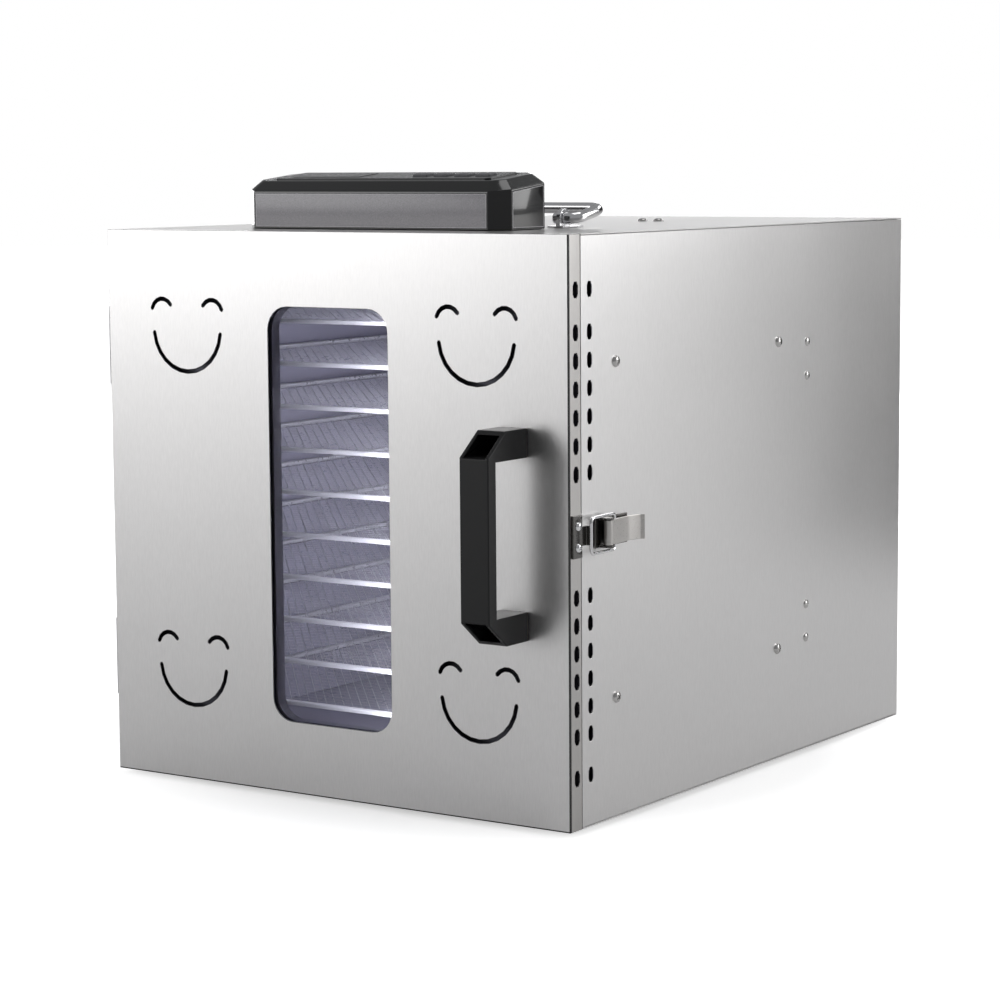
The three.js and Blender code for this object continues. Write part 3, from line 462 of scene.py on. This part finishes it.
# The door's faces that look along x take the darker flange copy: painted shade on the door's sides.
door.data.materials.append(flange_painted_shade_steel)
for face in door.data.polygons:
    if abs(face.normal.x) > 0.99 and face.material_index == 0:
        face.material_index = 2
# The chamber's parts take the dark steel copy: painted shade inside the chamber.
for name in ("chamber_roof", "chamber_floor", "tray_rack_left", "tray_rack_right", "fan_baffle",
             "motor_bracket", "fan_guard"):
    clean_copy(name, inner_steel, 0.2, 1)
# The door's inner panel, seen as the window's reveal, takes the dark copy: painted shade behind the skin.
clean_copy("door_inner_panel", door_inner_painted_shade_steel, 0.3, 2)
for name in ("window_gasket", "door_seal"):
    clean_copy(name, rubber, 0.3, 2)
for name in ("foot_front_left", "foot_front_right", "foot_rear_left", "foot_rear_right"):
    clean_copy(name, rubber, 0.6, 3)
clean_copy("door_handle", black_plastic, 0.9, 3)
housing = clean_copy("control_housing", gloss_plastic, 0.9, 3)
housing.data.materials.append(facia_plastic)
housing.data.materials.append(facia_painted_highlight_rim)
facia_low, facia_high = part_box("control_housing")
work = bmesh.new()
work.from_mesh(housing.data)
outer_faces = [face for face in work.faces if max(-face.normal.y, abs(face.normal.x)) > 0.999
               and face.calc_area() > 400 * MM * MM and face.calc_center_median().z > facia_low.z + 5 * MM
               and (face.calc_center_median().y < facia_low.y + 0.1 * MM
                    or abs(face.calc_center_median().x) > facia_high.x - 3 * MM)]
# A 0.7 mm ring, 1 mm in from each outer face's edge, takes the light rim plastic: a painted highlight along
# the housing's edges.
bmesh.ops.inset_region(work, faces=outer_faces, thickness=1.0 * MM)
rim = bmesh.ops.inset_region(work, faces=outer_faces, thickness=0.7 * MM)
for face in rim["faces"]:
    face.material_index = 2
for face in outer_faces:
    if face.normal.y < -0.999:
        face.material_index = 1
print("framed faces of the housing:", len(outer_faces))
work.to_mesh(housing.data)
work.free()
clean_copy("control_panel", panel_plastic, 0.25, 2)
clean_copy("display_window", panel_plastic, 0.25, 2)
clean_copy("power_inlet", black_plastic, 0.4, 2)
clean_copy("window_glass", glass, 0.3, 1)
for number in range(1, 5):
    clean_copy(f"button_{number}", button_rubber, 0.5, 3)
# The latch's catch and base take the near-black steel: painted shade round the latch.
clean_copy("latch_catch", latch_painted_shade_steel, 0.3, 3)
clean_copy("latch_base", latch_painted_shade_steel, 0.3, 3)
clean_copy("latch_lever", satin_steel, 0.4, 3)
for name in ("latch_loop", "carry_handle", "handle_bracket_left",
             "handle_bracket_right", "cabinet_hinge_leaf_lower", "cabinet_hinge_leaf_upper",
             "door_hinge_leaf_lower", "door_hinge_leaf_upper", "hinge_pin_lower", "hinge_pin_upper"):
    clean_copy(name, chrome, 0.25, 2)
for name in ("fan_impeller", "fan_motor"):
    clean_copy(name, fan_steel, 0.3, 2)
clean_copy("heater_element", heater_steel, 0.0)
clean_copy("control_board", board, 0.0)
clean_copy("thermal_cutout", fan_steel, 0.2, 2)
clean_copy("temperature_probe", chrome, 0.2, 2)

# %% [markdown]
# ## Trays
# Each tray is a frame of bent strip with a mesh of crossed wires in it. The frame is made here
# as a ring with round edges. The wires are a job for geometry nodes: one long line of points
# runs to and fro across the tray at a slant, a second one runs the other way, and both become
# thin wire. The points' places come from their numbers, so the pitch is a named input.

# %% Trays
TRAY_RIM = 6.0
TRAY_PITCH = 10.0
TRAY_WIRE = 0.42
TRAY_SLANT = 0.85
TRAY_FLAT = 0.25


def wire_tree():
    """Geometry nodes for the crossed wires inside one tray's frame."""
    tree = bpy.data.node_groups.new("tray_wires", "GeometryNodeTree")
    for label, default in (("Width", 0.38), ("Depth", 0.36), ("Pitch", 0.009), ("Wire", 0.0008),
                           ("Slant", 0.75), ("Flat", 0.3)):
        socket = tree.interface.new_socket(label, in_out="INPUT", socket_type="NodeSocketFloat")
        socket.default_value = default
    tree.interface.new_socket("Centre", in_out="INPUT", socket_type="NodeSocketVector")
    tree.interface.new_socket("Finish", in_out="INPUT", socket_type="NodeSocketMaterial")
    tree.interface.new_socket("Geometry", in_out="OUTPUT", socket_type="NodeSocketGeometry")
    given = tree.nodes.new("NodeGroupInput").outputs

    def sums(operation, first, second=0.0, third=None):
        inputs = {"i0": first, "i1": second}
        if third is not None:
            inputs["i2"] = third
        return node(tree, "ShaderNodeMath", {"operation": operation}, **inputs).outputs[0]

    wide = sums("DIVIDE", given["Width"], given["Slant"])
    total = sums("ADD", wide, given["Depth"])
    count = sums("FLOOR", sums("DIVIDE", total, given["Pitch"]))
    points = sums("MULTIPLY", sums("SUBTRACT", count, 1.0), 2.0)
    index = node(tree, "GeometryNodeInputIndex").outputs[0]
    run = sums("FLOOR", sums("DIVIDE", index, 2.0))
    corner = sums("MODULO", sums("ADD", run, sums("MODULO", index, 2.0)), 2.0)
    offset = sums("MULTIPLY", sums("ADD", run, 1.0), given["Pitch"])
    low_x = sums("MAXIMUM", sums("SUBTRACT", offset, given["Depth"]), 0.0)
    high_x = sums("MINIMUM", offset, wide)
    x = sums("ADD", sums("MULTIPLY", sums("SUBTRACT", 1.0, corner), low_x), sums("MULTIPLY", corner, high_x))
    y = sums("SUBTRACT", offset, x)
    half_width = sums("MULTIPLY", wide, 0.5)
    half_depth = sums("MULTIPLY", given["Depth"], 0.5)
    families = []
    for turn in (1.0, -1.0):
        across = sums("MULTIPLY", sums("SUBTRACT", x, half_width), sums("MULTIPLY", given["Slant"], turn))
        place = node(tree, "ShaderNodeCombineXYZ", X=across, Y=sums("SUBTRACT", y, half_depth),
                     Z=sums("MULTIPLY", given["Wire"], 0.5 * turn)).outputs[0]
        line = node(tree, "GeometryNodeMeshLine", Count=points).outputs[0]
        families.append(node(tree, "GeometryNodeSetPosition", Geometry=line, Position=place).outputs[0])
    both = node(tree, "GeometryNodeJoinGeometry")
    for family in families:
        tree.links.new(family, both.inputs[0])
    curves = node(tree, "GeometryNodeMeshToCurve", Mesh=both.outputs[0]).outputs[0]
    section = node(tree, "GeometryNodeCurvePrimitiveCircle", Resolution=4, Radius=given["Wire"]).outputs[0]
    wires = node(tree, "GeometryNodeCurveToMesh", Curve=curves, Profile_Curve=section,
                 Fill_Caps=True).outputs[0]
    pressed = node(tree, "ShaderNodeCombineXYZ", X=1.0, Y=1.0, Z=given["Flat"]).outputs[0]
    moved = node(tree, "GeometryNodeTransform", Geometry=wires, Translation=given["Centre"],
                 Scale=pressed).outputs[0]
    real = node(tree, "GeometryNodeRealizeInstances", Geometry=moved).outputs[0]
    painted = node(tree, "GeometryNodeSetMaterial", Geometry=real, Material=given["Finish"]).outputs[0]
    tree.links.new(painted, node(tree, "NodeGroupOutput").inputs[0])
    return tree


def set_inputs(modifier, **values):
    """Sets a node modifier's inputs by their names, through the identifiers of its sockets."""
    for item in modifier.node_group.interface.items_tree:
        if item.in_out == "INPUT" and item.name in values:
            modifier[item.identifier] = values[item.name]


def empty_piece(name):
    made = bpy.data.objects.new(name, bpy.data.meshes.new(name))
    bpy.context.scene.collection.objects.link(made)
    return made


def tray_frame(name, low, high, rim):
    """A ring of strip: two rectangles, one inside the other, with their walls."""
    work = bmesh.new()
    rings = []
    for inset, z in ((0, low.z), (0, high.z), (rim, high.z), (rim, low.z)):
        corners = ((low.x + inset, low.y + inset), (high.x - inset, low.y + inset),
                   (high.x - inset, high.y - inset), (low.x + inset, high.y - inset))
        rings.append([work.verts.new((x, y, z)) for x, y in corners])
    for step in range(4):
        here, there = rings[step], rings[(step + 1) % 4]
        for side in range(4):
            after = (side + 1) % 4
            work.faces.new((here[side], here[after], there[after], there[side]))
    bmesh.ops.recalc_face_normals(work, faces=work.faces)
    made = empty_piece(name)
    work.to_mesh(made.data)
    work.free()
    round_edges(made, 0.7, 3)
    return made


wires_group = wire_tree()
for number in range(1, 11):
    tray = f"tray_{number:02d}"
    low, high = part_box(tray)
    frame_piece = tray_frame(tray + "_frame", low, high, TRAY_RIM * MM)
    frame_piece.data.materials.append(tray_steel)
    frame_piece.data.materials.append(tray_rim_painted_light)
    settle(frame_piece, tray)
    # Faces at the tray's front rim take the near-white copy: painted light on the rims seen through the
    # window.
    for face in frame_piece.data.polygons:
        face.material_index = 1 if face.center.y < low.y + TRAY_RIM * MM else 0
    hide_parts(tray)
    wire_piece = empty_piece(tray + "_wires")
    weave = wire_piece.modifiers.new("weave", "NODES")
    weave.node_group = wires_group
    centre = (low + high) / 2
    set_inputs(weave, Width=high.x - low.x - TRAY_RIM * MM, Depth=high.y - low.y - TRAY_RIM * MM,
               Pitch=TRAY_PITCH * MM, Wire=TRAY_WIRE * MM,
               Slant=TRAY_SLANT, Flat=TRAY_FLAT, Centre=centre, Finish=tray_steel)
    baked(wire_piece)
    wire_piece.data.shade_smooth()
    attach(wire_piece, tray)
print("wires of one tray:", len(wire_piece.data.polygons), "faces")

# %% [markdown]
# ## Screws and rivets
# Pan-head screws hold the liner and the catch, and rivets hold the tray racks. One head of each
# kind is turned on a lathe and the screw's has a cross cut in it. Geometry nodes set a head on
# each point, turned to face out of the sheet. Distances back are measured from the door's front
# face, and heights on the sides from a line just under the middle of the side panel.

# %% Screws and rivets
def lathe_head(name, radius, height, steps, cross):
    """A domed head about +Z with its flat side at z = 0, and a cross recess when asked for."""
    work = bmesh.new()
    rings = []
    for share in (0.0, 0.35, 0.62, 0.82, 0.95):
        angle = share * math.pi / 2
        r, z = radius * math.cos(angle) ** 0.7, height * math.sin(angle)
        rings.append([work.verts.new((r * math.cos(2 * math.pi * k / steps),
                                      r * math.sin(2 * math.pi * k / steps), z)) for k in range(steps)])
    for lower, upper in zip(rings, rings[1:]):
        for k in range(steps):
            after = (k + 1) % steps
            work.faces.new((lower[k], lower[after], upper[after], upper[k]))
    work.faces.new(rings[-1])
    work.faces.new(list(reversed(rings[0])))
    mesh = bpy.data.meshes.new(name)
    work.to_mesh(mesh)
    work.free()
    made = bpy.data.objects.new(name, mesh)
    bpy.context.scene.collection.objects.link(made)
    if cross:
        for turn in (0, 1):
            bar = bmesh.new()
            bmesh.ops.create_cube(bar, size=1)
            reach = (radius * 1.15, radius * 0.24)
            scale = (reach[turn], reach[1 - turn], height * 0.7)
            bmesh.ops.scale(bar, vec=scale, verts=bar.verts)
            bmesh.ops.translate(bar, vec=(0, 0, height * 0.95), verts=bar.verts)
            bar_mesh = bpy.data.meshes.new("bar")
            bar.to_mesh(bar_mesh)
            bar.free()
            cutter = bpy.data.objects.new("bar", bar_mesh)
            bpy.context.scene.collection.objects.link(cutter)
            recess = made.modifiers.new("recess", "BOOLEAN")
            recess.object = cutter
            recess.operation = "DIFFERENCE"
            baked(made)
            bpy.data.objects.remove(cutter)
    return made


def heads_tree():
    """Geometry nodes that set a head on each vertex of the piece."""
    tree = bpy.data.node_groups.new("heads", "GeometryNodeTree")
    tree.interface.new_socket("Geometry", in_out="INPUT", socket_type="NodeSocketGeometry")
    tree.interface.new_socket("Head", in_out="INPUT", socket_type="NodeSocketObject")
    tree.interface.new_socket("Facing", in_out="INPUT", socket_type="NodeSocketVector")
    tree.interface.new_socket("Finish", in_out="INPUT", socket_type="NodeSocketMaterial")
    tree.interface.new_socket("Geometry", in_out="OUTPUT", socket_type="NodeSocketGeometry")
    given = tree.nodes.new("NodeGroupInput").outputs
    head = node(tree, "GeometryNodeObjectInfo", Object=given["Head"]).outputs["Geometry"]
    turn = node(tree, "FunctionNodeAlignRotationToVector", {"axis": "Z"}, Vector=given["Facing"]).outputs[0]
    spun = node(tree, "FunctionNodeRandomValue", {"data_type": "FLOAT"}, Seed=7)
    spun.inputs[2].default_value = 0.0
    spun.inputs[3].default_value = 3.0
    local = node(tree, "ShaderNodeCombineXYZ", Z=spun.outputs[1]).outputs[0]
    local = node(tree, "FunctionNodeEulerToRotation", Euler=local).outputs[0]
    both = node(tree, "FunctionNodeRotateRotation", {"rotation_space": "LOCAL"}, Rotation=turn,
                Rotate_By=local)
    placed = node(tree, "GeometryNodeInstanceOnPoints", Points=given["Geometry"], Instance=head,
                  Rotation=both.outputs[0]).outputs[0]
    real = node(tree, "GeometryNodeRealizeInstances", Geometry=placed).outputs[0]
    painted = node(tree, "GeometryNodeSetMaterial", Geometry=real, Material=given["Finish"]).outputs[0]
    tree.links.new(painted, node(tree, "NodeGroupOutput").inputs[0])
    return tree


heads_group = heads_tree()
screw_head = lathe_head("screw_head", 4.4 * MM, 2.4 * MM, 20, True)
small_head = lathe_head("small_screw_head", 3.3 * MM, 1.9 * MM, 16, True)
rivet_head = lathe_head("rivet_head", 3.7 * MM, 1.5 * MM, 18, False)


def set_heads(name, head, facing, places, body, finish=None):
    made = empty_piece(name)
    made.data.from_pydata(places, [], [])
    maker = made.modifiers.new("heads", "NODES")
    maker.node_group = heads_group
    set_inputs(maker, Head=head, Facing=Vector(facing), Finish=finish or screw_steel)
    baked(made)
    made.data.shade_smooth()
    made.data.set_sharp_from_angle(angle=math.radians(40))
    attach(made, body)
    return made


wall_low, wall_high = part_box("side_panel_right")
left_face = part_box("side_panel_left")[0].x
top_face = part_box("top_panel")[1].z
middle = (wall_low.z + wall_high.z) / 2 - 1.5 * MM
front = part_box("door_skin")[0].y
screw_spots = [(front + y * MM, middle + side * 122 * MM) for y in (62.5, 305) for side in (-1, 1)]
rivet_spots = [(front + 353 * MM, middle + side * z * MM) for z in (119.5, 92.5) for side in (-1, 1)]
for label, x, facing in (("right", wall_high.x, (1, 0, 0)), ("left", left_face, (-1, 0, 0))):
    set_heads("screws_" + label, screw_head, facing, [(x, y, z) for y, z in screw_spots], "cabinet")
    set_heads("rivets_" + label, rivet_head, facing, [(x, y, z) for y, z in rivet_spots], "cabinet")
top_spots = [(x * MM, front + 357 * MM, top_face) for x in (-66, -52, 55, 70)]
set_heads("screws_top", screw_head, (0, 0, 1), top_spots, "cabinet")
catch_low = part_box("latch_catch")[0]
catch_face = catch_low.x + 1.5 * MM
catch_spots = [(catch_face, front + 9.5 * MM, catch_low.z + z * MM) for z in (7.4, 22.6)]
set_heads("screws_catch", small_head, (1, 0, 0), catch_spots, "door", chrome)
for level in ("lower", "upper"):
    for leaf, body, inset in (("cabinet_hinge_leaf_", "cabinet", -9), ("door_hinge_leaf_", "door", 5)):
        leaf_low, leaf_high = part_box(leaf + level)
        plate_face = leaf_high.x - 1.5 * MM
        line = (leaf_high.y if inset < 0 else leaf_low.y) + inset * MM
        centre = (leaf_low.z + leaf_high.z) / 2
        spots = [(plate_face, line, centre + shift * MM) for shift in (-21, 0, 21)]
        set_heads(f"screws_{leaf}{level}", small_head, (-1, 0, 0), spots, body)
rear_low, rear_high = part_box("rear_panel")
rear_inset = 9 * MM
rear_across = (rear_low.x + rear_inset, (rear_low.x + rear_high.x) / 2, rear_high.x - rear_inset)
rear_spots = [(x, rear_high.y, z) for x in rear_across
              for z in (rear_low.z + rear_inset, rear_high.z - rear_inset)]
set_heads("screws_rear", small_head, (0, 1, 0), rear_spots, "cabinet")
for head in (screw_head, small_head, rivet_head):
    bpy.data.objects.remove(head)
